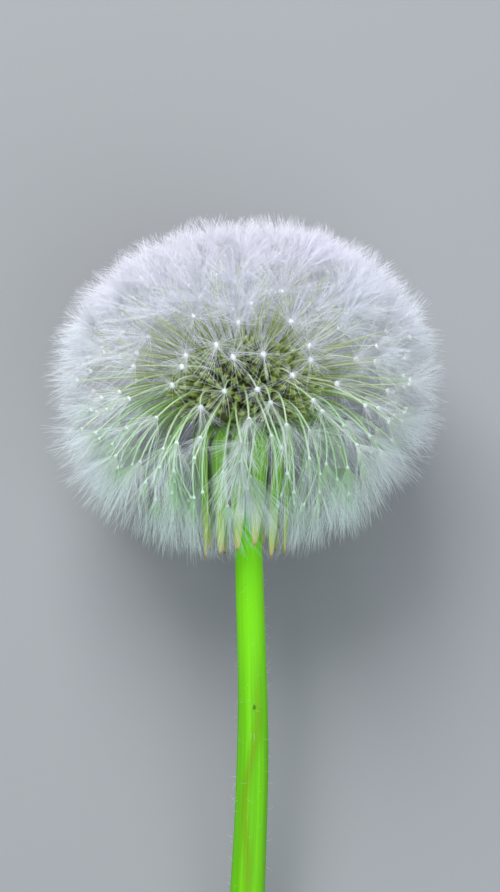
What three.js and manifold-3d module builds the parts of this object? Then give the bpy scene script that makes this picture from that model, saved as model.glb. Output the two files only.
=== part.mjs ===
// Dandelion seed head on its cut stem, in millimetres, lying on a surface.
//
// A hollow stem swells into a small receptacle that is packed with seeds (achenes). Each seed carries a thin
// beak, and each beak opens into an umbrella of bristles (the pappus). Neighbouring umbrellas meet at their
// bristle tips, so that together they close into one pale globe. Two whorls of green bracts hang folded back
// around the top of the stem.
//
// Every piece is shaped in the flower's own frame: origin at the globe's centre, +Z up the stem's line to the
// globe's top, +X to the right and +Y to the side that faces down. The group then lays the flower down: the
// surface is at Z = 0, the stem runs towards -Y, and the origin is under the bounding box's centre.

import * as THREE from 'three';
import { ConvexHull } from 'three/addons/math/ConvexHull.js';
import { mergeVertices } from 'three/addons/utils/BufferGeometryUtils.js';
import Module from 'manifold-3d';

// ---------------------------------------------------------------- driving dimensions (mm, degrees)

const GLOBE_WIDTH = 51.4;
const GLOBE_HEIGHT = 43.8;
const UMBRELLA_DEPTH = 5.6; // from an umbrella's hub out to its bristle tips
const FRUITS = 150;
const LOWEST_HUB = 159; // from the globe's top, where the lowest umbrellas end beside the stem
const LOWEST_SEED = 130;
const SEED_BALL = { width: 19.2, height: 12.8 }; // out to the seeds' tips
const RECEPTACLE = { width: 10.8, height: 6.8 };
const STEM_LENGTH = 95; // from the globe's centre to the cut
const STEM_WALL = 0.85;
const REST_HEIGHT = 24.5; // the globe's centre above the surface, once its lowest bristles have given way
const CLEARANCE = 0.3; // between neighbouring pieces

const GOLDEN_ANGLE = Math.PI * (3 - Math.sqrt(5));
const DEGREE = Math.PI / 180;

// ---------------------------------------------------------------- small tools

const vec = (x, y, z) => new THREE.Vector3(x, y, z);

// The point of an oblate spheroid whose parametric direction is `direction`.
function onSpheroid(direction, { width, height }) {
  return vec((direction.x * width) / 2, (direction.y * width) / 2, (direction.z * height) / 2);
}

// Two unit vectors that make a right-handed frame with `outward`, so that azimuths run anticlockwise as seen
// from outside. The first lies level, and along -Y at the very poles.
function tangents(outward) {
  const atPole = Math.abs(outward.z) > 0.999;
  const side = atPole ? vec(1, 0, 0) : vec(0, 0, 1);
  const across = vec(0, 0, 0).crossVectors(side, outward).normalize();
  return [across, vec(0, 0, 0).crossVectors(outward, across)];
}

// The azimuth of `vector` around `outward`.
function azimuthAround(outward, vector) {
  const [across, along] = tangents(outward);
  return Math.atan2(vector.dot(along), vector.dot(across));
}

// A closed surface built corner by corner.
class Surface {
  points = [];
  faces = [];

  corner(point) {
    return this.points.push(point) - 1;
  }

  face(a, b, c) {
    this.faces.push(a, b, c);
  }

  // A ring of corners around `centre`, at the given azimuths in the plane square to `outward`.
  ring(centre, outward, radius, azimuths) {
    const [across, along] = tangents(outward);
    return azimuths.map((azimuth) =>
      this.corner(
        centre
          .clone()
          .addScaledVector(across, radius * Math.cos(azimuth))
          .addScaledVector(along, radius * Math.sin(azimuth)),
      ),
    );
  }

  // Joins an outer ring to an inner one below it, each with its rising azimuths. Their counts may differ.
  stitch(outer, outerAzimuths, inner, innerAzimuths) {
    const turn = 2 * Math.PI;
    const at = (list, i) => list[i % list.length];
    const angle = (list, i) => list[i % list.length] + turn * Math.floor(i / list.length);
    const start = innerAzimuths.reduce(
      (best, azimuth, k) =>
        Math.abs(azimuth - outerAzimuths[0]) < Math.abs(innerAzimuths[best] - outerAzimuths[0]) ? k : best,
      0,
    );
    let i = 0;
    let j = start;
    while (i < outer.length || j < start + inner.length) {
      const stepOuter =
        i < outer.length &&
        (j >= start + inner.length ||
          (angle(outerAzimuths, i) + angle(outerAzimuths, i + 1)) / 2 <=
            (angle(innerAzimuths, j) + angle(innerAzimuths, j + 1)) / 2);
      if (stepOuter) {
        this.face(at(outer, i + 1), at(outer, i), at(inner, j));
        i += 1;
      } else {
        this.face(at(outer, i), at(inner, j), at(inner, j + 1));
        j += 1;
      }
    }
  }

  // Closes a ring: outward (anticlockwise seen from outside) or inward.
  cap(ring, facesOut) {
    for (let k = 1; k + 1 < ring.length; k += 1) {
      if (facesOut) this.face(ring[0], ring[k], ring[k + 1]);
      else this.face(ring[0], ring[k + 1], ring[k]);
    }
  }

  geometry() {
    const flat = this.points.flatMap((p) => [p.x, p.y, p.z]);
    return new THREE.BufferGeometry()
      .setAttribute('position', new THREE.Float32BufferAttribute(flat, 3))
      .setIndex(this.faces);
  }
}

const evenAzimuths = (count, first = 0) =>
  Array.from({ length: count }, (_, k) => first + (2 * Math.PI * k) / count);

// ---------------------------------------------------------------- where the fruits point

// Directions by the golden angle, evenly dense from the globe's top down to `lowest` degrees from it.
function spiralDirections(count, lowest) {
  const reach = 1 - Math.cos(lowest * DEGREE);
  return Array.from({ length: count }, (_, i) => {
    const z = 1 - (reach * (i + 0.5)) / count;
    const across = Math.sqrt(1 - z * z);
    return vec(across * Math.cos(i * GOLDEN_ANGLE), across * Math.sin(i * GOLDEN_ANGLE), z);
  });
}

// The network of nearest neighbours over a ball: `triangles` of neighbours, and for each point the triangles
// around it in anticlockwise order, each with its azimuth. The last point stands for the stem.
function neighbourNetwork(directions) {
  const points = [...directions, vec(0, 0, -1)];
  const numberOf = new Map(points.map((point, index) => [point, index]));
  const triangles = new ConvexHull().setFromPoints(points).faces.map((face) => {
    const corners = [0, 1, 2].map((k) => numberOf.get(face.getEdge(k).head().point));
    const centre = corners
      .reduce((sum, index) => sum.add(points[index]), vec(0, 0, 0))
      .normalize();
    return { corners, centre };
  });
  const around = points.map((point, index) =>
    triangles
      .map(({ corners, centre }, number) => ({ number, corners, azimuth: azimuthAround(point, centre) }))
      .filter(({ corners }) => corners.includes(index))
      .sort((a, b) => a.azimuth - b.azimuth),
  );
  return { points, triangles, around, stem: points.length - 1 };
}

const hubDirections = spiralDirections(FRUITS, LOWEST_HUB);
const seedDirections = spiralDirections(FRUITS, LOWEST_SEED);

// ---------------------------------------------------------------- how the flower lies

const STEM_SIDES = 14;
const STEM_CUT_RADIUS = 2.35;

// The tilt at which the stem's cut end touches the surface while the globe's centre is at REST_HEIGHT.
const cutUnderside = STEM_CUT_RADIUS * Math.cos(Math.PI / STEM_SIDES);
const lyingTilt =
  Math.asin(REST_HEIGHT / Math.hypot(STEM_LENGTH, cutUnderside)) - Math.atan2(cutUnderside, STEM_LENGTH);

const layDown = new THREE.Matrix4()
  .makeTranslation(0, 0, REST_HEIGHT)
  .multiply(new THREE.Matrix4().makeRotationX(lyingTilt - Math.PI / 2));
const standUp = layDown.clone().invert();
const down = vec(0, 0, -1).transformDirection(standUp);

const heightOf = (point) => point.clone().applyMatrix4(layDown).z;

// Lifts a point that would lie under the surface onto it.
function keepAbove(point) {
  const lying = point.clone().applyMatrix4(layDown);
  lying.z = Math.max(lying.z, 0);
  return lying.applyMatrix4(standUp);
}

// ---------------------------------------------------------------- stem

// Centre line and outer radius, from the top under the receptacle to the cut: it bows gently to one side.
const STEM_TOP = -4.9;
const STEM_LINE = [
  { z: STEM_TOP, x: 0, radius: 2.15 },
  { z: -8, x: 0.05, radius: 1.8 },
  { z: -21, x: 0.45, radius: 1.76 },
  { z: -44, x: 0.95, radius: 2.0 },
  { z: -62, x: 0.3, radius: 2.24 },
  { z: -80, x: -0.7, radius: 2.32 },
  { z: -STEM_LENGTH, x: -1.7, radius: STEM_CUT_RADIUS },
];
const STEM_STEPS = 17;

function makeStem() {
  const line = new THREE.CatmullRomCurve3(STEM_LINE.map(({ x, z }) => vec(x, 0, z)));
  const girth = new THREE.CatmullRomCurve3(STEM_LINE.map(({ radius, z }) => vec(radius, 0, z)));
  const flatBelow = Math.PI / 2 - Math.PI / STEM_SIDES;
  const azimuths = evenAzimuths(STEM_SIDES, flatBelow);
  const surface = new Surface();
  const rings = Array.from({ length: STEM_STEPS }, (_, k) => {
    const t = k / (STEM_STEPS - 1);
    const centre = line.getPoint(t);
    const radius = girth.getPoint(t).x;
    const circle = (r) =>
      azimuths.map((a) => surface.corner(vec(centre.x + r * Math.cos(a), r * Math.sin(a), centre.z)));
    return { outer: circle(radius), inner: circle(radius - STEM_WALL) };
  });
  const last = rings.length - 1;
  for (let k = 0; k < last; k += 1) {
    surface.stitch(rings[k].outer, azimuths, rings[k + 1].outer, azimuths);
    surface.stitch(rings[k + 1].inner, azimuths, rings[k].inner, azimuths);
  }
  surface.stitch(rings[0].inner, azimuths, rings[0].outer, azimuths);
  surface.stitch(rings[last].outer, azimuths, rings[last].inner, azimuths);
  return surface.geometry();
}

// ---------------------------------------------------------------- receptacle with its seeds

const SEED_GIRTH = 0.74; // a seed's widest section, as a share of its place on the receptacle
const SEED_BELLY = 0.56; // how far along the seed its widest section lies
const SEED_TIP_RADIUS = 0.42;
const SEED_TIP_SIDES = 3;
const NECK = { radius: 2.95, z: -4.6 }; // the underside that narrows onto the stem
const NECK_SIDES = 12;

function makeReceptacleWithSeeds() {
  const surface = new Surface();
  const network = neighbourNetwork(seedDirections);
  const hollows = network.triangles.map(({ centre }) => surface.corner(onSpheroid(centre, RECEPTACLE)));
  const belly = {
    width: THREE.MathUtils.lerp(RECEPTACLE.width, SEED_BALL.width, SEED_BELLY),
    height: THREE.MathUtils.lerp(RECEPTACLE.height, SEED_BALL.height, SEED_BELLY),
  };
  seedDirections.forEach((direction, index) => {
    const cell = network.around[index];
    const azimuths = cell.map(({ azimuth }) => azimuth);
    const middle = onSpheroid(direction, belly);
    const widest = cell.map(({ number }) =>
      surface.corner(
        middle.clone().lerp(onSpheroid(network.triangles[number].centre, belly), SEED_GIRTH),
      ),
    );
    const tip = onSpheroid(direction, SEED_BALL);
    const tipAzimuths = evenAzimuths(SEED_TIP_SIDES, azimuths[0]);
    const top = surface.ring(tip, direction, SEED_TIP_RADIUS, tipAzimuths);
    const base = cell.map(({ number }) => hollows[number]);
    surface.stitch(widest, azimuths, base, azimuths);
    surface.stitch(top, tipAzimuths, widest, azimuths);
    surface.cap(top, true);
  });
  const under = network.around[network.stem];
  const underAzimuths = under.map(({ azimuth }) => azimuth);
  const neckAzimuths = evenAzimuths(NECK_SIDES, underAzimuths[0]);
  const neck = surface.ring(vec(0, 0, NECK.z), vec(0, 0, -1), NECK.radius, neckAzimuths);
  surface.stitch(neck, neckAzimuths, under.map(({ number }) => hollows[number]), underAzimuths);
  surface.cap(neck, true);
  return surface.geometry();
}

// ---------------------------------------------------------------- beaks with their umbrellas

const GLOBE = { width: GLOBE_WIDTH, height: GLOBE_HEIGHT };
const HUB_BALL = { width: GLOBE_WIDTH - 2 * UMBRELLA_DEPTH, height: GLOBE_HEIGHT - 2 * UMBRELLA_DEPTH };
const HUB_RADIUS = 0.75;
const HUB_CROWN = 0.35; // the hub's top above its rim
const BEAK_SIDES = 3;
const BEAK_RADIUS = 0.36;
const BEAK_TOP_RADIUS = 0.42;
const BEAK_COLLAR = 0.9; // below the hub's rim, where the beak has its own section
const KNOT = { spread: 0.5, depth: 0.75, spike: 1.1 }; // where three bristles of neighbours meet
const FOOT_REACH = 0.15; // a knot below this height above the surface becomes a foot
const FREE_BRISTLE_WIDTH = 0.75; // as a share of a shared bristle's
const UPRIGHT_BALL = { width: GLOBE_WIDTH - 0.8, height: GLOBE_HEIGHT - 0.8 };
const UPRIGHT_LEAN = 0.32; // of the two knots' directions, added to the hub's own
const BESIDE_LEAN = 0.35; // of a bristle beside the stem towards its own hub
const LOWEST_TIP = 163; // degrees from the globe's top

// Where three umbrellas meet: an inner point, three outer ones between the bristles, and a spike on top, or a
// flat foot where the globe rests on the surface.
function makeKnot(surface, { corners, centre }, hubs) {
  const seat = onSpheroid(centre, GLOBE).addScaledVector(centre, -KNOT.spike);
  const rests = heightOf(seat) < FOOT_REACH;
  const outward = rests ? down : centre;
  if (rests) seat.addScaledVector(down, heightOf(seat));
  const sides = corners.map((corner, k) => {
    const between = hubs[corner].clone().lerp(hubs[corners[(k + 1) % 3]], 0.5).sub(seat);
    between.projectOnPlane(outward).normalize();
    return surface.corner(seat.clone().addScaledVector(between, KNOT.spread));
  });
  const inner = surface.corner(seat.clone().addScaledVector(outward, -KNOT.depth));
  if (rests) {
    surface.cap(sides, true);
  } else {
    const spike = surface.corner(keepAbove(seat.clone().addScaledVector(outward, KNOT.spike)));
    sides.forEach((side, k) => surface.face(side, sides[(k + 1) % 3], spike));
  }
  return { corners, centre, sides, inner };
}

// The direction of a free bristle that ends beside the stem, on the side of `centre`.
function besideStem(centre, hubDirection) {
  const fall = Math.min(Math.acos(centre.z), LOWEST_TIP * DEGREE);
  const turn = Math.atan2(centre.y, centre.x);
  const beside = vec(Math.sin(fall) * Math.cos(turn), Math.sin(fall) * Math.sin(turn), Math.cos(fall));
  return beside.lerp(hubDirection, BESIDE_LEAN).normalize();
}

// The bristles of one umbrella in order of azimuth: the shared ones that run to a knot, a free one wherever a
// knot would reach the stem, and a short upright one in every second gap.
function umbrellaBristles(network, index, knots) {
  const outward = network.points[index];
  const hub = onSpheroid(outward, HUB_BALL);
  const free = (direction, ball) => {
    const tip = keepAbove(onSpheroid(direction, ball));
    return { azimuth: azimuthAround(outward, tip.clone().sub(hub)), tip, share: FREE_BRISTLE_WIDTH };
  };
  const spokes = network.around[index].map(({ number, azimuth }) => {
    const knot = knots.get(number);
    if (knot) return { azimuth, knot, share: 1 };
    return free(besideStem(network.triangles[number].centre, outward), GLOBE);
  });
  const upright = spokes.flatMap(({ knot }, k) => {
    const nextKnot = spokes[(k + 1) % spokes.length].knot;
    if (k % 2 || !knot || !nextKnot) return [];
    const lean = knot.centre.clone().add(nextKnot.centre).multiplyScalar(UPRIGHT_LEAN);
    return [free(lean.add(outward).normalize(), UPRIGHT_BALL)];
  });
  return [...spokes, ...upright].sort((a, b) => a.azimuth - b.azimuth);
}

// One fruit's pale part: the beak from the seed's tip up to the hub, and the hub's bristles.
function addUmbrella(surface, network, index, knots) {
  const outward = network.points[index];
  const hub = onSpheroid(outward, HUB_BALL);
  const seedTip = onSpheroid(seedDirections[index], SEED_BALL);
  const beakLine = hub.clone().sub(seedTip).normalize();
  const bristles = umbrellaBristles(network, index, knots);
  const rimAzimuths = bristles.map(({ azimuth, share }, k) => {
    const before = bristles[(k + bristles.length - 1) % bristles.length];
    const gap = (azimuth - before.azimuth + 2 * Math.PI) % (2 * Math.PI);
    return azimuth - (gap * share) / (share + before.share);
  });
  const crown = surface.corner(hub.clone().addScaledVector(outward, HUB_CROWN));
  const underHub = hub.clone().addScaledVector(outward, -HUB_CROWN);
  const rim = surface.ring(underHub, outward, HUB_RADIUS, rimAzimuths);
  bristles.forEach(({ tip, knot }, k) => {
    const right = rim[k];
    const left = rim[(k + 1) % rim.length];
    if (tip) {
      const point = surface.corner(tip);
      surface.face(crown, point, left);
      surface.face(left, point, right);
      surface.face(right, point, crown);
      return;
    }
    const place = knot.corners.indexOf(index);
    const knotRight = knot.sides[place];
    const knotLeft = knot.sides[(place + 2) % 3];
    surface.face(crown, knotLeft, left);
    surface.face(left, knotLeft, knot.inner);
    surface.face(left, knot.inner, right);
    surface.face(right, knot.inner, knotRight);
    surface.face(right, knotRight, crown);
    surface.face(crown, knotRight, knotLeft);
  });
  const beakAzimuths = evenAzimuths(BEAK_SIDES, rimAzimuths[0]);
  const collar = surface.ring(
    hub.clone().addScaledVector(beakLine, -HUB_CROWN - BEAK_COLLAR),
    outward,
    BEAK_TOP_RADIUS,
    beakAzimuths,
  );
  const foot = surface.ring(
    seedTip.clone().addScaledVector(seedDirections[index], CLEARANCE),
    seedDirections[index],
    BEAK_RADIUS,
    beakAzimuths,
  );
  surface.stitch(rim, rimAzimuths, collar, beakAzimuths);
  surface.stitch(collar, beakAzimuths, foot, beakAzimuths);
  surface.cap(foot, false);
}

function makeBeaksWithPappus() {
  const surface = new Surface();
  const network = neighbourNetwork(hubDirections);
  const hubs = network.points.map((direction) => onSpheroid(direction, HUB_BALL));
  const knots = new Map();
  network.triangles.forEach((triangle, number) => {
    if (triangle.corners.includes(network.stem)) return;
    knots.set(number, makeKnot(surface, triangle, hubs));
  });
  hubDirections.forEach((_, index) => addUmbrella(surface, network, index, knots));
  return surface.geometry();
}

// ---------------------------------------------------------------- bracts

const wasm = await Module();
wasm.setup();

// A closed geometry as a solid, and back.
function solid(geometry) {
  const bare = geometry.clone();
  bare.deleteAttribute('normal');
  bare.deleteAttribute('uv');
  const merged = mergeVertices(bare, 1e-4);
  return new wasm.Manifold(
    new wasm.Mesh({
      numProp: 3,
      vertProperties: merged.attributes.position.array,
      triVerts: new Uint32Array(merged.index.array),
    }),
  );
}

function geometryOf(manifold) {
  const { vertProperties, triVerts } = manifold.getMesh();
  return new THREE.BufferGeometry()
    .setAttribute('position', new THREE.BufferAttribute(new Float32Array(vertProperties), 3))
    .setIndex(new THREE.BufferAttribute(new Uint32Array(triVerts), 1));
}

// Each whorl: its collar around the receptacle's neck or the stem's top, and the line that a bract follows
// from the collar out, over and down the stem, as [distance from the axis, height].
const WHORLS = {
  inner_bracts: {
    count: 13,
    firstAzimuth: 0.24,
    collar: { inside: 3.3, outside: 3.95, top: -4.3, bottom: -5.1 },
    line: [[3.6, -4.7], [4.75, -5.15], [5.65, -6.5], [5.75, -9.2], [5.35, -14], [4.95, -20.9]],
    width: 2.15,
    lengthSpread: 0.12,
  },
  outer_bracts: {
    count: 12,
    firstAzimuth: 0,
    collar: { inside: 2.5, outside: 3.1, top: -5.3, bottom: -6.3 },
    line: [[2.8, -5.8], [3.8, -6.35], [4.35, -7.7], [4.25, -10.8], [3.6, -14.8]],
    width: 1.75,
    lengthSpread: 0.12,
  },
};
const BRACT_THICKNESS = 0.62;
const BRACT_THINNING = 0.35; // towards the point
const BRACT_STEPS = 7;
const BRACT_SIDES = 4;
const COLLAR_SIDES = 26;
const LENGTH_START = 0.15;
const LENGTH_STEP = 0.27;

// A bract's width along its length, as a share of the widest: broad at the base, long in the point.
const bractOutline = (t) => Math.pow(1 - t, 0.7) * (0.72 + 1.1 * t * (1 - 0.45 * t));

// One lance-shaped bract that follows `line` in the plane of `azimuth`, with a section like a flat lens.
function makeBract(line, width, azimuth, stretch) {
  const outward = vec(Math.cos(azimuth), Math.sin(azimuth), 0);
  const across = vec(-Math.sin(azimuth), Math.cos(azimuth), 0);
  const [[, attachHeight]] = line;
  const path = new THREE.CatmullRomCurve3(
    line.map(([distance, height]) =>
      outward.clone().multiplyScalar(distance).setZ(attachHeight + (height - attachHeight) * stretch),
    ),
  );
  const surface = new Surface();
  const azimuths = evenAzimuths(BRACT_SIDES);
  const rings = Array.from({ length: BRACT_STEPS }, (_, k) => {
    const t = k / BRACT_STEPS;
    const centre = path.getPoint(t);
    const upper = vec(0, 0, 0).crossVectors(across, path.getTangent(t));
    const halfWidth = (width / 2) * bractOutline(t);
    const halfThickness = (BRACT_THICKNESS / 2) * (1 - BRACT_THINNING * t);
    return [
      surface.corner(centre.clone().addScaledVector(across, halfWidth)),
      surface.corner(centre.clone().addScaledVector(upper, halfThickness)),
      surface.corner(centre.clone().addScaledVector(across, -halfWidth)),
      surface.corner(centre.clone().addScaledVector(upper, -halfThickness)),
    ];
  });
  for (let k = 0; k + 1 < rings.length; k += 1) surface.stitch(rings[k], azimuths, rings[k + 1], azimuths);
  surface.cap(rings[0], true);
  const tip = surface.corner(path.getPoint(1));
  const end = rings[rings.length - 1];
  end.forEach((corner, k) => surface.face(end[(k + 1) % end.length], corner, tip));
  return surface.geometry();
}

function makeCollar({ inside, outside, top, bottom }) {
  const profile = [
    [inside, bottom],
    [outside, bottom],
    [outside, top],
    [inside, top],
    [inside, bottom],
  ].map(([x, y]) => new THREE.Vector2(x, y));
  return new THREE.LatheGeometry(profile, COLLAR_SIDES).rotateX(Math.PI / 2);
}

// A whorl of bracts on its collar. Their lengths differ in a steady pattern that doesn't look like one.
function makeWhorl({ count, firstAzimuth, collar, line, width, lengthSpread }) {
  return evenAzimuths(count, firstAzimuth).reduce((whorl, azimuth, index) => {
    const stretch = 1 - lengthSpread * ((LENGTH_START + index * LENGTH_STEP) % 1);
    return whorl.add(solid(makeBract(line, width, azimuth, stretch)));
  }, solid(makeCollar(collar)));
}

// ---------------------------------------------------------------- materials and assembly

const finish = (color, roughness) => new THREE.MeshStandardMaterial({ color, roughness, metalness: 0 });

const flower = new THREE.Group();

function addPiece(name, geometry, material) {
  const mesh = new THREE.Mesh(geometry, material);
  mesh.name = name;
  flower.add(mesh);
}

addPiece('stem', makeStem(), finish('#7ed91c', 0.5));
addPiece('receptacle_with_seeds', makeReceptacleWithSeeds(), finish('#7c7a45', 0.75));
addPiece('beaks_with_pappus', makeBeaksWithPappus(), finish('#dfe6ec', 0.6));
for (const [name, whorl] of Object.entries(WHORLS)) {
  addPiece(name, geometryOf(makeWhorl(whorl)), finish('#5fa83a', 0.6));
}

flower.applyMatrix4(layDown);
flower.updateMatrixWorld(true);

const dandelion = new THREE.Group();
dandelion.add(flower);
const middle = new THREE.Box3().setFromObject(dandelion, true).getCenter(vec(0, 0, 0));
dandelion.position.set(-middle.x, -middle.y, 0);

export default dandelion;
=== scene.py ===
import math

import bpy
import numpy as np
from mathutils import Matrix, Vector


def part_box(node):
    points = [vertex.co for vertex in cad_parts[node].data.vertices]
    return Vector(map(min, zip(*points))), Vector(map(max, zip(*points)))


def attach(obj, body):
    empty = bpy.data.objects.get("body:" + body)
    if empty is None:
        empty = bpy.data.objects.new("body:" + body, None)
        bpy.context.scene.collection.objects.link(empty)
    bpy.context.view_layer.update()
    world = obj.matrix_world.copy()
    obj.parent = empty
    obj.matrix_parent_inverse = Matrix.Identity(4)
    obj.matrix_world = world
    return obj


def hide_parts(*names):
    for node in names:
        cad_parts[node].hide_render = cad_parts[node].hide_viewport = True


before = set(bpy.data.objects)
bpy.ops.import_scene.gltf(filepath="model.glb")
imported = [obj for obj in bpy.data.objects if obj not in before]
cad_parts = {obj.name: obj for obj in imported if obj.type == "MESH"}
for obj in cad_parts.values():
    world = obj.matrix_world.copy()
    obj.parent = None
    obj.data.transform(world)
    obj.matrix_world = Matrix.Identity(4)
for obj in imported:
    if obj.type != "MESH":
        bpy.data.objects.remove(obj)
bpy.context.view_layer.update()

# ---------------------------------------------------------------------------------------------------------
# The picked flower as it lies. Shapes are worked out in millimetres in the flower's own frame: the origin is
# the globe's centre, z runs up the head's axis, x to the right and y towards the surface below. The head
# rests on bristles that have given way a little, and the stem on the lower edge of its cut.

MM = 0.001
STEM_LENGTH = 95.0
STEM_CUT_RADIUS = 2.29
REST_HEIGHT = 24.5

tilt = math.asin(REST_HEIGHT / math.hypot(STEM_LENGTH, STEM_CUT_RADIUS))
tilt -= math.atan2(STEM_CUT_RADIUS, STEM_LENGTH)
lying = np.array([[1, 0, 0], [0, math.sin(tilt), math.cos(tilt)], [0, -math.cos(tilt), math.sin(tilt)]])
cut_end_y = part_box("stem")[0].y / MM
globe_centre = np.array(
    [0, cut_end_y + STEM_LENGTH * math.cos(tilt) + STEM_CUT_RADIUS * math.sin(tilt), REST_HEIGHT]
)


def laid(points):
    """Points of the flower's frame, turned and moved to where the flower lies, still in millimetres."""
    return points @ lying.T + globe_centre


def above_surface(points, clearance):
    """Points that would lie lower than `clearance` over the surface, lifted to that height."""
    placed = laid(points)
    placed[..., 2] = np.maximum(placed[..., 2], clearance)
    return (placed - globe_centre) @ lying


# ---------------------------------------------------------------------------------------------------------
# Camera, light and surface. The camera looks down on the lying flower, square to the head's axis, with the
# head's top towards the top of the picture and the stem running out of it at the bottom.

IMAGE = (500, 892)
PIXELS_PER_MM = 8.16
HEAD_PIXEL = (245, 388)
CAMERA_DISTANCE = 380.0
SENSOR = 36.0

scene = bpy.context.scene
scene.view_settings.view_transform = "Standard"

camera_data = bpy.data.cameras.new("camera")
camera_data.sensor_width = SENSOR
camera_data.lens = SENSOR * CAMERA_DISTANCE * PIXELS_PER_MM / IMAGE[1]
camera = bpy.data.objects.new("camera", camera_data)
scene.collection.objects.link(camera)
scene.camera = camera
right_of_head = (IMAGE[0] / 2 - HEAD_PIXEL[0]) / PIXELS_PER_MM
above_head = (HEAD_PIXEL[1] - IMAGE[1] / 2) / PIXELS_PER_MM
camera_place = np.eye(4)
camera_place[:3, 0] = lying @ [1, 0, 0]
camera_place[:3, 1] = lying @ [0, 0, 1]
camera_place[:3, 2] = lying @ [0, -1, 0]
camera_place[:3, 3] = laid(np.array([right_of_head, -CAMERA_DISTANCE, above_head])) * MM
camera.matrix_world = Matrix(camera_place.tolist())


def soft_light(name, place, size, power, colour):
    """A square area light at `place`, in metres, that points at the globe."""
    data = bpy.data.lights.new(name, "AREA")
    data.size = size
    data.energy = power
    data.color = colour
    light = bpy.data.objects.new(name, data)
    light.location = place
    toward_globe = Vector(globe_centre * MM) - Vector(place)
    light.rotation_euler = toward_globe.to_track_quat("-Z", "Y").to_euler()
    scene.collection.objects.link(light)


soft_light("key", (-0.12, 0.33, 0.52), 0.35, 4.4, (1.0, 0.98, 0.97))
soft_light("fill", (0.25, -0.30, 0.60), 0.50, 2.0, (0.93, 0.97, 1.0))
world = bpy.data.worlds.new("studio")
world.use_nodes = True
world.node_tree.nodes["Background"].inputs["Color"].default_value = (0.90, 0.94, 1.0, 1.0)
world.node_tree.nodes["Background"].inputs["Strength"].default_value = 0.40
scene.world = world


def paint(red, green, blue):
    """A colour as it looks on screen, turned into the linear values that shaders take."""
    screen = np.array([red, green, blue], float)
    linear = np.where(screen <= 0.04045, screen / 12.92, ((screen + 0.055) / 1.055) ** 2.4)
    return (*linear.tolist(), 1.0)


def new_material(name, roughness, specular=0.5, sheen=0.0):
    """A material with its Principled shader, and its node tree."""
    made = bpy.data.materials.new(name)
    made.use_nodes = True
    shader = made.node_tree.nodes["Principled BSDF"]
    shader.inputs["Roughness"].default_value = roughness
    shader.inputs["Specular IOR Level"].default_value = specular
    shader.inputs["Sheen Weight"].default_value = sheen
    return made, made.node_tree, shader


def put(tree, kind, inputs=None, **settings):
    """One node in `tree` with its settings. `inputs` gives each socket a value or the socket feeding it."""
    node = tree.nodes.new(kind)
    for name, value in settings.items():
        setattr(node, name, value)
    for socket, value in (inputs or {}).items():
        if isinstance(value, bpy.types.NodeSocket):
            tree.links.new(value, node.inputs[socket])
        else:
            node.inputs[socket].default_value = value
    return node


FLOOR_SIZE = 3.0

bpy.ops.mesh.primitive_plane_add(size=FLOOR_SIZE)
floor = bpy.context.object
floor.name = "surface"
floor_finish, _, floor_shader = new_material("surface paper", 0.85, specular=0.2)
floor_shader.inputs["Base Color"].default_value = paint(0.56, 0.575, 0.59)
floor.data.materials.append(floor_finish)

# ---------------------------------------------------------------------------------------------------------
# Stem: a hollow green tube, smooth and finely ribbed, milky inside. It bows gently to one side, and was cut
# straight across. It is one mesh whose profile runs down the outside, round the cut and back up the bore.

STEM_TOP = 4.9  # below the globe's centre
STEM_WALL = 0.85
# how far below the globe's centre, offset to the right, outer radius
STEM_LINE = np.array(
    [
        [STEM_TOP, 0.0, 2.10],
        [8.0, 0.05, 1.76],
        [21.0, 0.45, 1.73],
        [44.0, 0.95, 1.96],
        [62.0, 0.3, 2.19],
        [80.0, -0.7, 2.26],
        [STEM_LENGTH, -1.7, STEM_CUT_RADIUS],
    ]
)


def through(stations, values, where):
    """A smooth curve through `values` at rising `stations`, read at `where`. Each span is a cubic that keeps
    the slopes at its two ends, which are those of the parabola through a station and its neighbours."""
    slopes = np.gradient(values, stations, axis=0)
    span = np.clip(np.searchsorted(stations, where) - 1, 0, len(stations) - 2)
    width = stations[span + 1] - stations[span]
    t = (where - stations[span]) / width
    if values.ndim > 1:
        t, width = t[..., None], width[..., None]
    start = (1 + 2 * t) * (1 - t) ** 2 * values[span] + t * (1 - t) ** 2 * width * slopes[span]
    end = t**2 * (3 - 2 * t) * values[span + 1] + t**2 * (t - 1) * width * slopes[span + 1]
    return start + end


def ring_grid(count, rows, columns, closed_rows=False):
    """Quads over `count` tubes, each a grid of rows x columns points whose columns close round it, and whose
    rows close too on a ring-shaped piece. Also each corner's row and column, with the last column counted on
    past the seam."""
    row, column = np.meshgrid(np.arange(rows if closed_rows else rows - 1), np.arange(columns), indexing="ij")
    steps = np.array([[0, 0], [0, 1], [1, 1], [1, 0]])
    corner_row = row[..., None] + steps[:, 0]
    corner_column = column[..., None] + steps[:, 1]
    quads = ((corner_row % rows) * columns + corner_column % columns).reshape(-1, 4)
    corners = np.stack([corner_column, corner_row], -1).reshape(-1, 4, 2)
    starts = np.arange(count) * rows * columns
    return (starts[:, None, None] + quads).reshape(-1, 4), np.tile(corners, (count, 1, 1))


def end_caps(count, rows, columns):
    """The faces that close `count` tubes of rows x columns points: at the first row and at the last."""
    starts = (np.arange(count) * rows * columns)[:, None]
    column = np.arange(columns)
    return starts + column[::-1], starts + (rows - 1) * columns + column


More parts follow.
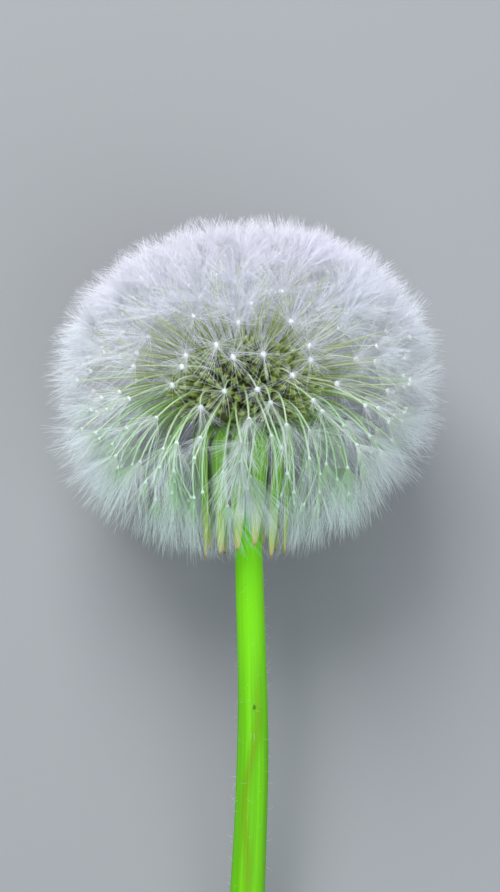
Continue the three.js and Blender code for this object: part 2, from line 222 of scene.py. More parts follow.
def add_piece(name, points, face_sets, place_sets, material, node):
    """A finished piece that stands for the CAD node: a mesh from points in the flower's frame and arrays of
    faces, each with a place on the piece's own UV map for every corner."""
    mesh = bpy.data.meshes.new(name)
    mesh.vertices.add(len(points))
    mesh.vertices.foreach_set("co", (laid(points) * MM).ravel())
    corners = np.concatenate([faces.ravel() for faces in face_sets])
    sizes = np.concatenate([np.full(len(faces), faces.shape[1]) for faces in face_sets])
    mesh.loops.add(len(corners))
    mesh.loops.foreach_set("vertex_index", corners)
    mesh.polygons.add(len(sizes))
    mesh.polygons.foreach_set("loop_start", np.cumsum(sizes) - sizes)
    mesh.polygons.foreach_set("use_smooth", np.ones(len(sizes), bool))
    mesh.update(calc_edges=True)
    places = mesh.uv_layers.new(name="Place")
    places.data.foreach_set("uv", np.concatenate([place.reshape(-1, 2) for place in place_sets]).ravel())
    mesh.materials.append(material)
    piece = bpy.data.objects.new(name, mesh)
    scene.collection.objects.link(piece)
    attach(piece, "root")
    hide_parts(node)
    return piece


STEM_COLUMNS = 72
STEM_ROWS = 190
RIM_ROWS = 5
RIM_ROUND = 0.12

# The profile as [distance below the globe's centre, share of the wall from outside in]: down the outside,
# round the cut's rim, up the bore and round the rim at the top.
down_the_outside = np.linspace(STEM_TOP + RIM_ROUND, STEM_LENGTH - RIM_ROUND, STEM_ROWS)
rim_turn = np.linspace(0, math.pi, RIM_ROWS + 2)[1:-1]
rim_share = 0.5 - 0.5 * np.cos(rim_turn)
profile_depth = np.concatenate(
    [
        down_the_outside,
        STEM_LENGTH - RIM_ROUND + RIM_ROUND * np.sin(rim_turn) ** 0.5,
        down_the_outside[::-6],
        STEM_TOP + RIM_ROUND - RIM_ROUND * np.sin(rim_turn) ** 0.5,
    ]
)
bore_rows = len(down_the_outside[::-6])
profile_share = np.concatenate([np.zeros(STEM_ROWS), rim_share, np.ones(bore_rows), rim_share[::-1]])

around = 2 * math.pi * np.arange(STEM_COLUMNS) / STEM_COLUMNS
line = through(STEM_LINE[:, 0], STEM_LINE[:, 1:], profile_depth)
depth_grid, around_grid = np.meshgrid(profile_depth, around, indexing="ij")
ribs = 0.010 * np.cos(18 * around_grid) + 0.014 * np.cos(7 * around_grid + 0.03 * depth_grid)
swelling = 0.025 * np.sin(0.31 * depth_grid + 1.7 * np.sin(around_grid)) - 0.06
stem_radius = line[:, 1, None] - STEM_WALL * profile_share[:, None]
stem_radius = stem_radius + (ribs + swelling) * (1 - profile_share[:, None])
stem_points = np.stack(
    [
        line[:, 0, None] + stem_radius * np.cos(around_grid),
        stem_radius * np.sin(around_grid),
        -depth_grid,
    ],
    -1,
)
stem_faces, stem_corners = ring_grid(1, len(profile_depth), STEM_COLUMNS, closed_rows=True)
# The stem's map: u once round it, v its depth in decimetres, and one more for the bore and the cut.
corner_row = stem_corners[..., 1].astype(int) % len(profile_depth)
stem_places = np.stack(
    [stem_corners[..., 0] / STEM_COLUMNS, profile_depth[corner_row] / 100 + profile_share[corner_row]], -1
)


def effect(name, inputs, outputs):
    """A new shader node group with named sockets, its input and output nodes, and its tree."""
    tree = bpy.data.node_groups.new(name, "ShaderNodeTree")
    for socket, (kind, value) in inputs.items():
        tree.interface.new_socket(socket, in_out="INPUT", socket_type=kind).default_value = value
    for socket, kind in outputs.items():
        tree.interface.new_socket(socket, in_out="OUTPUT", socket_type=kind)
    return tree, tree.nodes.new("NodeGroupInput"), tree.nodes.new("NodeGroupOutput")


def math_node(tree, operation, first, second=0.0, clamp=False):
    """The result of one sum on two sockets or numbers."""
    return put(tree, "ShaderNodeMath", {0: first, 1: second}, operation=operation, use_clamp=clamp).outputs[0]


def blend_colours(tree, mask, first, second):
    """`first` where the mask is 0, `second` where it is 1."""
    node = put(tree, "ShaderNodeMix", data_type="RGBA")
    for socket, value in ((node.inputs[0], mask), (node.inputs[6], first), (node.inputs[7], second)):
        if isinstance(value, bpy.types.NodeSocket):
            tree.links.new(value, socket)
        else:
            socket.default_value = value
    return node.outputs[2]


def smooth_step(tree, value, low, high):
    """0 below `low`, 1 above `high` and a smooth rise between, or a fall where low is above high."""
    inputs = {"Value": value, "From Min": low, "From Max": high}
    return put(tree, "ShaderNodeMapRange", inputs, interpolation_type="SMOOTHSTEP").outputs["Result"]


def own_place(tree):
    """The two coordinates of a piece's own map, as sockets."""
    split = put(tree, "ShaderNodeSeparateXYZ", {0: put(tree, "ShaderNodeUVMap", uv_map="Place").outputs["UV"]})
    return split.outputs["X"], split.outputs["Y"]


def fine_noise(tree, scale):
    """Even noise over the object, `scale` to the metre."""
    where = put(tree, "ShaderNodeTexCoord").outputs["Object"]
    return put(tree, "ShaderNodeTexNoise", {"Vector": where, "Scale": scale, "Detail": 2.0}).outputs["Fac"]


def add_relief(tree, shader, strength, height):
    """Bumps of up to 0.1 mm on a material, highest where `height` is 1."""
    bump = put(tree, "ShaderNodeBump", {"Strength": strength, "Distance": 0.0001, "Height": height})
    tree.links.new(bump.outputs["Normal"], shader.inputs["Normal"])


# Streaks that run along a piece: noise over its map, with its own scale round and along the piece.
streaks_group, streaks_in, streaks_out = effect(
    "grown streaks",
    {"Across": ("NodeSocketFloat", 40.0), "Along": ("NodeSocketFloat", 4.0)},
    {"Mask": "NodeSocketFloat"},
)
round_piece, along_piece = own_place(streaks_group)
turned = math_node(streaks_group, "MULTIPLY", round_piece, 2 * math.pi)
cosine, sine = (math_node(streaks_group, operation, turned) for operation in ("COSINE", "SINE"))
across = math_node(streaks_group, "MULTIPLY", cosine, streaks_in.outputs["Across"])
beside = math_node(streaks_group, "MULTIPLY", sine, streaks_in.outputs["Across"])
along = math_node(streaks_group, "MULTIPLY", along_piece, streaks_in.outputs["Along"])
stretched = put(streaks_group, "ShaderNodeCombineXYZ", {"X": across, "Y": beside, "Z": along})
streak_noise = put(
    streaks_group, "ShaderNodeTexNoise", {"Vector": stretched.outputs[0], "Scale": 1.0, "Detail": 3.0}
)
streaks_group.links.new(
    smooth_step(streaks_group, streak_noise.outputs["Fac"], 0.35, 0.65), streaks_out.inputs["Mask"]
)


def streaks(tree, across_scale, along_scale):
    """The mask of grown streaks in a material."""
    node = put(tree, "ShaderNodeGroup", node_tree=streaks_group)
    node.inputs["Across"].default_value = across_scale
    node.inputs["Along"].default_value = along_scale
    return node.outputs["Mask"]


stem_finish, tree, shader = new_material("green stem skin", 0.5, specular=0.25)
shader.inputs["Subsurface Weight"].default_value = 0.15
shader.inputs["Subsurface Radius"].default_value = (0.6, 1.0, 0.2)
shader.inputs["Subsurface Scale"].default_value = 0.001
round_stem, down_stem = own_place(tree)
skin = blend_colours(tree, streaks(tree, 2.0, 3.0), paint(0.41, 0.77, 0.0), paint(0.36, 0.70, 0.0))
# Painted light: the stem is painted brighter towards the globe, to make up for the head's shadow on its top.
skin = blend_colours(tree, smooth_step(tree, down_stem, 0.45, 0.18), skin, paint(0.49, 0.91, 0.0))
pale_streaks = math_node(tree, "MULTIPLY", streaks(tree, 9.0, 6.0), 0.22)
skin = blend_colours(tree, pale_streaks, skin, paint(0.56, 0.85, 0.15))
# An old graze: a soft olive streak that drifts across the front and back, and a speck beside its upper end.
# Each bend of its line as [start and end down the stem, place round the stem before and after]
GRAZE_BENDS = ((0.40, 0.505, 0.805, 0.680), (0.505, 0.60, 0.0, 0.065))
graze_line = 0.0
for start, end, before, after in GRAZE_BENDS:
    bend = {"Value": down_stem, "From Min": start, "From Max": end, "To Min": before, "To Max": after}
    bent = put(tree, "ShaderNodeMapRange", bend, interpolation_type="SMOOTHSTEP").outputs["Result"]
    graze_line = math_node(tree, "ADD", graze_line, bent)
from_graze = math_node(tree, "ABSOLUTE", math_node(tree, "SUBTRACT", round_stem, graze_line))
graze_length = math_node(
    tree, "MULTIPLY", smooth_step(tree, down_stem, 0.30, 0.42), smooth_step(tree, down_stem, 0.68, 0.56)
)
patchy = math_node(tree, "ADD", math_node(tree, "MULTIPLY", streaks(tree, 7.0, 5.0), 0.5), 0.5)
graze = math_node(tree, "MULTIPLY", graze_length, patchy)
wide_graze = math_node(tree, "MULTIPLY", graze, smooth_step(tree, from_graze, 0.095, 0.0))
skin = blend_colours(tree, wide_graze, skin, paint(0.38, 0.63, 0.0))
graze_core = math_node(tree, "MULTIPLY", graze, smooth_step(tree, from_graze, 0.050, 0.0))
skin = blend_colours(tree, math_node(tree, "MULTIPLY", graze_core, 0.5), skin, paint(0.48, 0.56, 0.02))
speck_across = math_node(tree, "MULTIPLY", math_node(tree, "SUBTRACT", round_stem, 0.767), 16.0)
speck_along = math_node(tree, "MULTIPLY", math_node(tree, "SUBTRACT", down_stem, 0.390), 80.0)
speck_span = math_node(
    tree, "ADD", math_node(tree, "POWER", speck_across, 2.0), math_node(tree, "POWER", speck_along, 2.0)
)
speck = math_node(tree, "MULTIPLY", smooth_step(tree, speck_span, 0.12, 0.01), 0.8)
skin = blend_colours(tree, speck, skin, paint(0.20, 0.34, 0.03))
# The cut and the bore are pale, moist pith.
skin = blend_colours(tree, smooth_step(tree, down_stem, 1.02, 1.15), skin, paint(0.86, 0.93, 0.70))
tree.links.new(skin, shader.inputs["Base Color"])
rib_shine = math_node(tree, "ADD", math_node(tree, "MULTIPLY", streaks(tree, 12.0, 3.0), 0.12), 0.44)
tree.links.new(rib_shine, shader.inputs["Roughness"])
add_relief(tree, shader, 0.35, streaks(tree, 22.0, 2.0))

add_piece("stem_tube", stem_points.reshape(-1, 3), [stem_faces], [stem_places], stem_finish, "stem")

# Sparse cobwebby hairs stand off the stem. Each is a thin three-sided sliver that curves along the stem.

GROWTH_SEED = 41  # for the stem's hairs, the bracts and the seeds
HAIRS = 300
HAIR_RADIUS = 0.013

draws = np.random.default_rng(GROWTH_SEED)


def slivers(path, radius, side):
    """Three-sided slivers that end in a point. `path` holds the points of each one's middle line from root
    to tip, `radius` its radius at every point but the last, and `side` a direction across it. The section at
    each point is a triangle in the plane of `side` and of a second direction square to it and to the line."""
    count, steps = path.shape[:2]
    heading = np.gradient(path, axis=1)
    heading /= np.linalg.norm(heading, axis=-1, keepdims=True)
    first = side[:, None] - (side[:, None] * heading).sum(-1, keepdims=True) * heading
    first /= np.linalg.norm(first, axis=-1, keepdims=True)
    second = np.cross(heading, first)
    turn = 2 * math.pi * np.arange(3) / 3
    around_line = np.cos(turn)[:, None] * first[:, :-1, None] + np.sin(turn)[:, None] * second[:, :-1, None]
    rings = path[:, :-1, None] + radius[..., None, None] * around_line
    points = np.concatenate([rings.reshape(count, -1, 3), path[:, -1:]], 1)
    start = np.arange(count)[:, None, None] * points.shape[1]
    column = np.arange(3)
    after = (column + 1) % 3
    row = 3 * np.arange(steps - 2)[:, None]
    walls = np.stack([row + column, row + after, row + 3 + after, row + 3 + column], -1).reshape(-1, 4)
    last = 3 * (steps - 2)
    ends = np.stack([last + column, last + after, np.full(3, last + 3)], -1)
    ends = np.concatenate([ends, [[0, 2, 1]]])
    return points.reshape(-1, 3), (start + walls).reshape(-1, 4), (start + ends).reshape(-1, 3)


def sliver_places(count, share, tone):
    """For each point of `count` slivers: its share of the length, and the sliver's own tone."""
    steps = len(share)
    share = np.append(np.repeat(share[:-1], 3), share[-1])
    return np.stack([np.tile(share, count), np.repeat(tone, 3 * (steps - 1) + 1)], -1)


hair_depth = 21.5 + (STEM_LENGTH - 23) * draws.random(HAIRS) ** 1.15
hair_turn = 2 * math.pi * draws.random(HAIRS)
hair_line = through(STEM_LINE[:, 0], STEM_LINE[:, 1:], hair_depth)
outward = np.stack([np.cos(hair_turn), np.sin(hair_turn), np.zeros(HAIRS)], -1)
hair_root = outward * (hair_line[:, 1:] - 0.09) + np.stack([hair_line[:, 0], 0 * hair_depth, -hair_depth], -1)
hair_length = 0.3 + 0.8 * draws.random(HAIRS) ** 2
lean = np.stack([-np.sin(hair_turn), np.cos(hair_turn), np.zeros(HAIRS)], -1)
lean *= draws.normal(0, 0.5, (HAIRS, 1))
lean += np.array([0, 0, 1]) * draws.normal(-0.1, 0.7, (HAIRS, 1))
hair_share = np.linspace(0, 1, 5)
along_hair = hair_share[:, None]
hair_path = hair_root[:, None] + hair_length[:, None, None] * (
    outward[:, None] * along_hair + lean[:, None] * along_hair**2
)
hair_path = above_surface(hair_path, 0.03)
hair_radius = HAIR_RADIUS * np.linspace(1, 0.5, 4) * np.ones((HAIRS, 1))
hair_points, hair_walls, hair_ends = slivers(hair_path, hair_radius, np.cross(outward, [0.3, 0.2, 1.0]))
hair_places = sliver_places(HAIRS, hair_share, draws.random(HAIRS))

hair_finish, tree, shader = new_material("white stem hair", 0.5, sheen=0.2)
along_hair_map, _ = own_place(tree)
hair_white = blend_colours(tree, along_hair_map, paint(0.80, 0.90, 0.72), paint(0.93, 0.96, 0.98))
tree.links.new(hair_white, shader.inputs["Base Color"])
add_piece(
    "stem_hairs",
    hair_points,
    [hair_walls, hair_ends],
    [hair_places[hair_walls], hair_places[hair_ends]],
    hair_finish,
    "stem",
)

# ---------------------------------------------------------------------------------------------------------
# Bracts: two whorls of narrow green leaflets that have folded right back, out of the seeds' way. Each is a
# thin cupped blade with a midrib and dry yellow-brown point, and grows from a collar at the stem's top.

BRACT_ROWS = 34
BRACT_COLUMNS = 16
BLADE_THICKNESS = 0.34
COLLAR_ROWS = 12
COLLAR_COLUMNS = 64


def bract_outline(t):
    """Half width along a bract as a share of the widest: broad at the base, then slowly narrower."""
    return (1 - t) ** 0.5 * (0.72 + 1.1 * t * (1 - 0.55 * t))


def make_whorl(name, count, first_turn, collar, line, width, length_spread, finish):
    """A whorl of bracts. A blade's middle line lies in an upright plane through the axis and drifts a little
    out of it. Its section is a flat ellipse bent to a shallow cup, with a ridge along the back."""
    line = np.array(line)
    spans = np.linalg.norm(np.diff(line, axis=0), axis=1)
    stations = np.concatenate([[0], np.cumsum(spans)]) / spans.sum()
    t = np.linspace(0, 1, BRACT_ROWS) ** 0.9
    middle = through(stations, line, t)
    turn = first_turn + 2 * math.pi * np.arange(count) / count
    stretch = 1 - length_spread * ((0.15 + 0.27 * np.arange(count)) % 1)
    drift = draws.normal(0, 0.09, count)[:, None] * t**2
    turns = turn[:, None] + drift
    out = np.stack([np.cos(turns), np.sin(turns), 0 * turns], -1)
    across = np.stack([-np.sin(turns), np.cos(turns), 0 * turns], -1)
    height = line[0, 1] + (middle[:, 1] - line[0, 1]) * stretch[:, None]
    splay = 1 + draws.normal(0, 0.02, count)[:, None] * t
    path = out * (middle[:, 0] * splay)[..., None] + np.array([0, 0, 1]) * height[..., None]
    heading = np.gradient(path, axis=1)
    heading /= np.linalg.norm(heading, axis=-1, keepdims=True)
    upper = np.cross(across, heading)
    section = 2 * math.pi * np.arange(BRACT_COLUMNS) / BRACT_COLUMNS
    half_width = width / 2 * bract_outline(np.minimum(t, 0.995))
    waver = 1 + 0.05 * np.sin(21 * t[None] + 6 * draws.random((count, 1)))
    sideways = half_width * waver
    blade = BLADE_THICKNESS / 2 * (1 - 0.5 * t)
    cup = 0.30 * half_width
    midrib = 0.10 * (1 - t)
    lift = np.sin(section) * blade[:, None] + (np.cos(section) ** 2 - 0.35) * cup[:, None]
    lift -= midrib[:, None] * np.exp(-((np.cos(section) / 0.16) ** 2)) * (np.sin(section) < 0)
    points = (
        path[:, :, None]
        + across[:, :, None] * (np.cos(section) * sideways[..., None])[..., None]
        + upper[:, :, None] * lift[None, ..., None]
    )
    faces, corners = ring_grid(count, BRACT_ROWS, BRACT_COLUMNS)
    caps, tips = end_caps(count, BRACT_ROWS, BRACT_COLUMNS)
    # The map: u across from edge to edge, v along the blade.
    u = 0.5 + 0.5 * np.cos(section)
    places = np.stack([u[corners[..., 0].astype(int) % BRACT_COLUMNS], t[corners[..., 1].astype(int)]], -1)
    cap_places = np.tile(np.stack([u[::-1], 0 * section], -1), (count, 1, 1))
    tip_places = np.tile(np.stack([u, 1 + 0 * section], -1), (count, 1, 1))

    inside, outside, top, bottom = collar
    round_profile = 2 * math.pi * np.arange(COLLAR_ROWS) / COLLAR_ROWS
    collar_radius = (inside + outside) / 2 + (outside - inside) / 2 * np.cos(round_profile)
    collar_height = (top + bottom) / 2 - (top - bottom) / 2 * np.sin(round_profile)
    ring_turn = 2 * math.pi * np.arange(COLLAR_COLUMNS) / COLLAR_COLUMNS
    scallop = 1 + 0.012 * np.cos(count * (ring_turn - first_turn))
    radius_grid = collar_radius[:, None] * scallop
    height_grid = collar_height[:, None] + 0 * radius_grid
    collar_points = np.stack(
        [radius_grid * np.cos(ring_turn), radius_grid * np.sin(ring_turn), height_grid], -1
    )
    collar_faces, collar_corners = ring_grid(1, COLLAR_ROWS, COLLAR_COLUMNS, closed_rows=True)
    # The collar takes the look of the blades' base, six blades round it.
    collar_places = np.stack(
        [collar_corners[..., 0] / COLLAR_COLUMNS * 6, 0.02 + 0 * collar_corners[..., 1]], -1
    )
    offset = count * BRACT_ROWS * BRACT_COLUMNS
    add_piece(
        name + "_leaflets",
        np.concatenate([points.reshape(-1, 3), collar_points.reshape(-1, 3)]),
        [faces, caps, tips, collar_faces + offset],
        [places, cap_places, tip_places, collar_places],
        finish,
        name,
    )


bract_finish, tree, shader = new_material("bract leaf", 0.5, specular=0.35, sheen=0.15)
across_blade, along_blade = own_place(tree)
vein_wave = math_node(tree, "COSINE", math_node(tree, "MULTIPLY", across_blade, 14 * math.pi))
leaf = blend_colours(
    tree, smooth_step(tree, vein_wave, -0.2, 0.9), paint(0.42, 0.68, 0.16), paint(0.54, 0.77, 0.28)
)
dark_streaks = math_node(tree, "MULTIPLY", streaks(tree, 3.0, 9.0), 0.5)
leaf = blend_colours(tree, dark_streaks, leaf, paint(0.30, 0.58, 0.12))
from_midrib = math_node(tree, "ABSOLUTE", math_node(tree, "SUBTRACT", across_blade, 0.5))
leaf = blend_colours(tree, smooth_step(tree, from_midrib, 0.36, 0.50), leaf, paint(0.66, 0.80, 0.46))
leaf = blend_colours(tree, smooth_step(tree, from_midrib, 0.06, 0.0), leaf, paint(0.58, 0.80, 0.36))
leaf = blend_colours(tree, smooth_step(tree, along_blade, 0.55, 0.88), leaf, paint(0.72, 0.84, 0.44))
leaf = blend_colours(tree, smooth_step(tree, along_blade, 0.87, 0.96), leaf, paint(0.80, 0.80, 0.44))
leaf = blend_colours(tree, smooth_step(tree, along_blade, 0.965, 0.995), leaf, paint(0.72, 0.58, 0.38))
tree.links.new(leaf, shader.inputs["Base Color"])
add_relief(tree, shader, 0.4, vein_wave)

make_whorl(
    "inner_bracts",
    13,
    0.24,
    (3.3, 3.95, -4.3, -5.1),
    [[3.6, -4.7], [4.75, -5.15], [5.65, -6.5], [5.75, -9.2], [5.35, -14], [4.95, -20.9]],
    2.45,
    0.12,
    bract_finish,
)
make_whorl(
    "outer_bracts",
    12,
    0.0,
    (2.5, 3.1, -5.3, -6.3),
    [[2.8, -5.8], [3.8, -6.35], [4.35, -7.7], [4.25, -10.8], [3.6, -14.8]],
    1.75,
    0.12,
    bract_finish,
)

# ---------------------------------------------------------------------------------------------------------
# Receptacle and seeds. The stem's top is a small pale dome with a pit for each seed. The seeds (achenes)
# stand on it side by side: olive, ribbed, toothed near the top, and drawn out into a short cone.

FRUITS = 285
LOWEST_HUB = 159.0
LOWEST_SEED = 130.0
GOLDEN_ANGLE = math.pi * (3 - math.sqrt(5))
SPIRAL_START = 0.75 * math.pi  # picked together with HUB_SEED
RECEPTACLE = np.array([5.4, 5.4, 3.4])
SEED_BALL = np.array([9.6, 9.6, 6.4])
HUB_BALL = np.array([20.1, 20.1, 16.3])
GLOBE = np.array([25.65, 25.65, 21.9])


def spiral(count, lowest):
    """Directions by the golden angle, evenly dense from straight up down to `lowest` degrees from it."""
    order = np.arange(count)
    z = 1 - (1 - math.cos(math.radians(lowest))) * (order + 0.5) / count
    flat = np.sqrt(1 - z**2)
    turn = SPIRAL_START + order * GOLDEN_ANGLE
    return np.stack([flat * np.cos(turn), flat * np.sin(turn), z], -1)


def unit(vectors):
    """The vectors at length 1."""
    return vectors / np.linalg.norm(vectors, axis=-1, keepdims=True)


def square_to(axis):
    """Two directions for each axis that are square to it and to each other, the first one level."""
    level = unit(np.stack([-axis[..., 1], axis[..., 0], 0 * axis[..., 0]], -1))
    return level, np.cross(axis, level)


seed_direction = unit(spiral(FRUITS, LOWEST_SEED) + draws.normal(0, 0.012, (FRUITS, 3)))
seed_root = seed_direction * RECEPTACLE * 0.97
seed_tip = seed_direction * SEED_BALL * (1 + draws.normal(0, 0.02, (FRUITS, 1)))
seed_axis = unit(seed_tip - seed_root)

# Along a seed, as [share of its length, radius in mm].
SEED_SHAPE = np.array(
    [
        [0, 0.20],
        [0.08, 0.26],
        [0.3, 0.42],
        [0.55, 0.56],
        [0.7, 0.58],
        [0.8, 0.48],
        [0.87, 0.28],
        [0.93, 0.19],
        [1, 0.15],
    ]
)
SEED_ROWS = 15
SEED_COLUMNS = 15

along_seed = np.linspace(0, 1, SEED_ROWS) ** 0.85
seed_turn = 2 * math.pi * np.arange(SEED_COLUMNS) / SEED_COLUMNS
seed_radius = through(SEED_SHAPE[:, 0], SEED_SHAPE[:, 1], along_seed)
rib = 0.11 * np.cos(5 * seed_turn) + 0.06 * np.cos(10 * seed_turn)
toothed = np.exp(-(((along_seed - 0.70) / 0.13) ** 2))
tooth = np.where(np.arange(SEED_ROWS) % 2 == 0, 0.34, -0.02)
relief = 1 + rib * np.minimum(1, 6 * along_seed * (1.02 - along_seed))[:, None]
relief = relief + (toothed * tooth)[:, None] * (np.cos(5 * seed_turn) > 0.9)
flatness = np.array([1.0, 0.78])
level, upright = square_to(seed_axis)
spin = 2 * math.pi * draws.random(FRUITS)[:, None]
side_a = np.cos(spin) * level + np.sin(spin) * upright
side_b = np.cross(seed_axis, side_a)
seed_line = seed_root[:, None] + (seed_tip - seed_root)[:, None] * along_seed[:, None]
size = (1 + draws.normal(0, 0.06, FRUITS))[:, None, None]
ring_radius = seed_radius[:, None] * relief * size
seed_points = (
    seed_line[:, :, None]
    + side_a[:, None, None] * (flatness[0] * ring_radius * np.cos(seed_turn))[..., None]
    + side_b[:, None, None] * (flatness[1] * ring_radius * np.sin(seed_turn))[..., None]
)
seed_faces, seed_corners = ring_grid(FRUITS, SEED_ROWS, SEED_COLUMNS)
seed_caps, seed_tops = end_caps(FRUITS, SEED_ROWS, SEED_COLUMNS)
# The map: u round the seed plus its own number, v along it.
seed_number = np.repeat(np.arange(FRUITS), (SEED_ROWS - 1) * SEED_COLUMNS)[:, None]
seed_places = np.stack(
    [seed_corners[..., 0] / SEED_COLUMNS + seed_number, along_seed[seed_corners[..., 1].astype(int)]], -1
)
cap_turn = np.arange(SEED_COLUMNS) / SEED_COLUMNS + np.arange(FRUITS)[:, None]
seed_cap_places = np.stack([cap_turn[:, ::-1], 0 * cap_turn], -1)
seed_top_places = np.stack([cap_turn, 1 + 0 * cap_turn], -1)

seed_finish, tree, shader = new_material("ribbed olive seed", 0.6, specular=0.3)
round_seed, along = own_place(tree)
rib_wave = math_node(tree, "COSINE", math_node(tree, "MULTIPLY", round_seed, 10 * math.pi))
on_rib = smooth_step(tree, rib_wave, -0.8, 0.9)
hull = blend_colours(tree, on_rib, paint(0.34, 0.40, 0.17), paint(0.55, 0.61, 0.33))
grain = fine_noise(tree, 900.0)
hull = blend_colours(tree, smooth_step(tree, grain, 0.42, 0.68), hull, paint(0.50, 0.54, 0.24))
hull = blend_colours(tree, smooth_step(tree, along, 0.74, 0.95), hull, paint(0.66, 0.76, 0.44))
tree.links.new(hull, shader.inputs["Base Color"])
add_relief(tree, shader, 0.4, grain)
add_piece(
    "seeds",
    seed_points.reshape(-1, 3),
    [seed_faces, seed_caps, seed_tops],
    [seed_places, seed_cap_places, seed_top_places],
    seed_finish,
    "receptacle_with_seeds",
)

# The dome itself: a spheroid down to the neck and a flat underside, with a shallow pit round each seed.

DOME_ROWS = 72
DOME_COLUMNS = 110
NECK_RADIUS = 2.95
NECK_HEIGHT = -4.6

fall = np.linspace(0.02, 0.80 * math.pi, DOME_ROWS)
dome_turn = 2 * math.pi * np.arange(DOME_COLUMNS) / DOME_COLUMNS
fall_grid, turn_grid = np.meshgrid(fall, dome_turn, indexing="ij")
dome_direction = np.stack(
    [np.sin(fall_grid) * np.cos(turn_grid), np.sin(fall_grid) * np.sin(turn_grid), np.cos(fall_grid)], -1
)
nearest = np.arccos(np.clip(dome_direction @ seed_direction.T, -1, 1)).min(-1)
pit = 0.12 * np.exp(-((nearest / 0.055) ** 2))
dome_points = dome_direction * (RECEPTACLE * 0.98) * (1 - pit[..., None] / 4)
neck_radius = np.array([2.98, NECK_RADIUS, NECK_RADIUS - 0.08, 1.6, 0.05])
neck_height = np.array([-3.9, NECK_HEIGHT + 0.1, NECK_HEIGHT, NECK_HEIGHT, NECK_HEIGHT])
neck_points = np.stack(
    [
        neck_radius[:, None] * np.cos(dome_turn),
        neck_radius[:, None] * np.sin(dome_turn),
        neck_height[:, None] + 0 * dome_turn,
    ],
    -1,
)
dome_grid = np.concatenate([dome_points, neck_points])[::-1]
dome_faces, dome_corners = ring_grid(1, len(dome_grid), DOME_COLUMNS)
dome_places = dome_corners / [DOME_COLUMNS, len(dome_grid)]
dome_caps, dome_tops = end_caps(1, len(dome_grid), DOME_COLUMNS)
ring_places = np.stack([np.arange(DOME_COLUMNS) / DOME_COLUMNS, np.zeros(DOME_COLUMNS)], -1)[None]

dome_finish, tree, shader = new_material("receptacle pith", 0.7, specular=0.3)
pith = blend_colours(tree, fine_noise(tree, 1400.0), paint(0.44, 0.52, 0.22), paint(0.62, 0.66, 0.40))
tree.links.new(pith, shader.inputs["Base Color"])
add_piece(
    "receptacle_dome",
    dome_grid.reshape(-1, 3),
    [dome_faces, dome_caps, dome_tops],
    [dome_places, ring_places, ring_places],
    dome_finish,
    "receptacle_with_seeds",
)

# ---------------------------------------------------------------------------------------------------------
# Beaks: each seed carries a thin pale-green stalk, which leaves along the seed, bends towards its place on
# the globe and widens into a small white cup that holds the bristles.

BEAK_ROWS = 12
BEAK_COLUMNS = 8
BEAK_RADIUS = 0.105
CUP_RADIUS = 0.38
# This seed and SPIRAL_START were picked out of about 127,000 pairs for how the hubs look from the camera.
# Another pair gives another pattern.
HUB_SEED = 648

draws = np.random.default_rng(HUB_SEED)
hub_direction = unit(spiral(FRUITS, LOWEST_HUB) + draws.normal(0, 0.045, (FRUITS, 3)))
# The hubs hang at uneven depths, most of all in the lower half.
low = np.clip(-1.6 * hub_direction[:, 2:], 0, 1)
hub_depth = 1 + draws.normal(-0.01, 0.03, (FRUITS, 1)) - 0.16 * low * draws.random((FRUITS, 1))
hub = hub_direction * HUB_BALL * hub_depth
reach = np.linalg.norm(hub - seed_tip, axis=-1, keepdims=True)
elbow = seed_tip + seed_axis * 0.45 * reach + draws.normal(0, 0.35, (FRUITS, 3))
along_beak = np.linspace(0, 1, BEAK_ROWS)
s = along_beak[None, :, None]
beak_path = (1 - s) ** 2 * seed_tip[:, None] + 2 * s * (1 - s) * elbow[:, None] + s**2 * hub[:, None]
beak_end = unit(hub - elbow)
# The cup past the hub, as [distance in mm, radius in mm].
CUP_SHAPE = np.array(
    [[0.08, 0.15], [0.22, 0.28], [0.36, CUP_RADIUS], [0.50, 0.31], [0.58, 0.16], [0.61, 0.03]]
)
cup_path = hub[:, None] + beak_end[:, None] * CUP_SHAPE[:, 0, None]
beak_line = np.concatenate([beak_path, cup_path], 1)
beak_width = np.concatenate([BEAK_RADIUS * (1.1 - 0.25 * along_beak), CUP_SHAPE[:, 1]])
beak_heading = unit(np.gradient(beak_line, axis=1))
level, upright = square_to(beak_end)
first = unit(level[:, None] - (level[:, None] * beak_heading).sum(-1, keepdims=True) * beak_heading)
second = np.cross(beak_heading, first)
beak_turn = 2 * math.pi * np.arange(BEAK_COLUMNS) / BEAK_COLUMNS
# The lower the fruit, the thicker its beak and the smaller its cup.
stalk_size, cup_size = np.tile(1 + 0.3 * low, BEAK_ROWS), np.tile(1 - 0.32 * low, len(CUP_SHAPE))
beak_width = beak_width * np.append(stalk_size, cup_size, 1)
beak_points = beak_line[:, :, None] + beak_width[..., None, None] * (
    first[:, :, None] * np.cos(beak_turn)[:, None] + second[:, :, None] * np.sin(beak_turn)[:, None]
)
beak_rows = beak_line.shape[1]
beak_faces, beak_corners = ring_grid(FRUITS, beak_rows, BEAK_COLUMNS)
beak_caps, beak_tops = end_caps(FRUITS, beak_rows, BEAK_COLUMNS)
beak_tone = np.clip(0.30 - 0.9 * hub_direction[:, 2] + draws.normal(0, 0.15, FRUITS), 0, 1)
tone_of_face = np.repeat(beak_tone, (beak_rows - 1) * BEAK_COLUMNS)[:, None]
# The map: u along the beak and its cup, v the beak's own tone, which is greenest low on the globe.
beak_places = np.stack([beak_corners[..., 1] / (beak_rows - 1), tone_of_face + 0 * beak_corners[..., 1]], -1)
beak_cap_places = np.stack([0 * beak_caps, beak_tone[:, None] + 0 * beak_caps], -1)
beak_top_places = np.stack([1 + 0 * beak_caps, beak_tone[:, None] + 0 * beak_caps], -1)

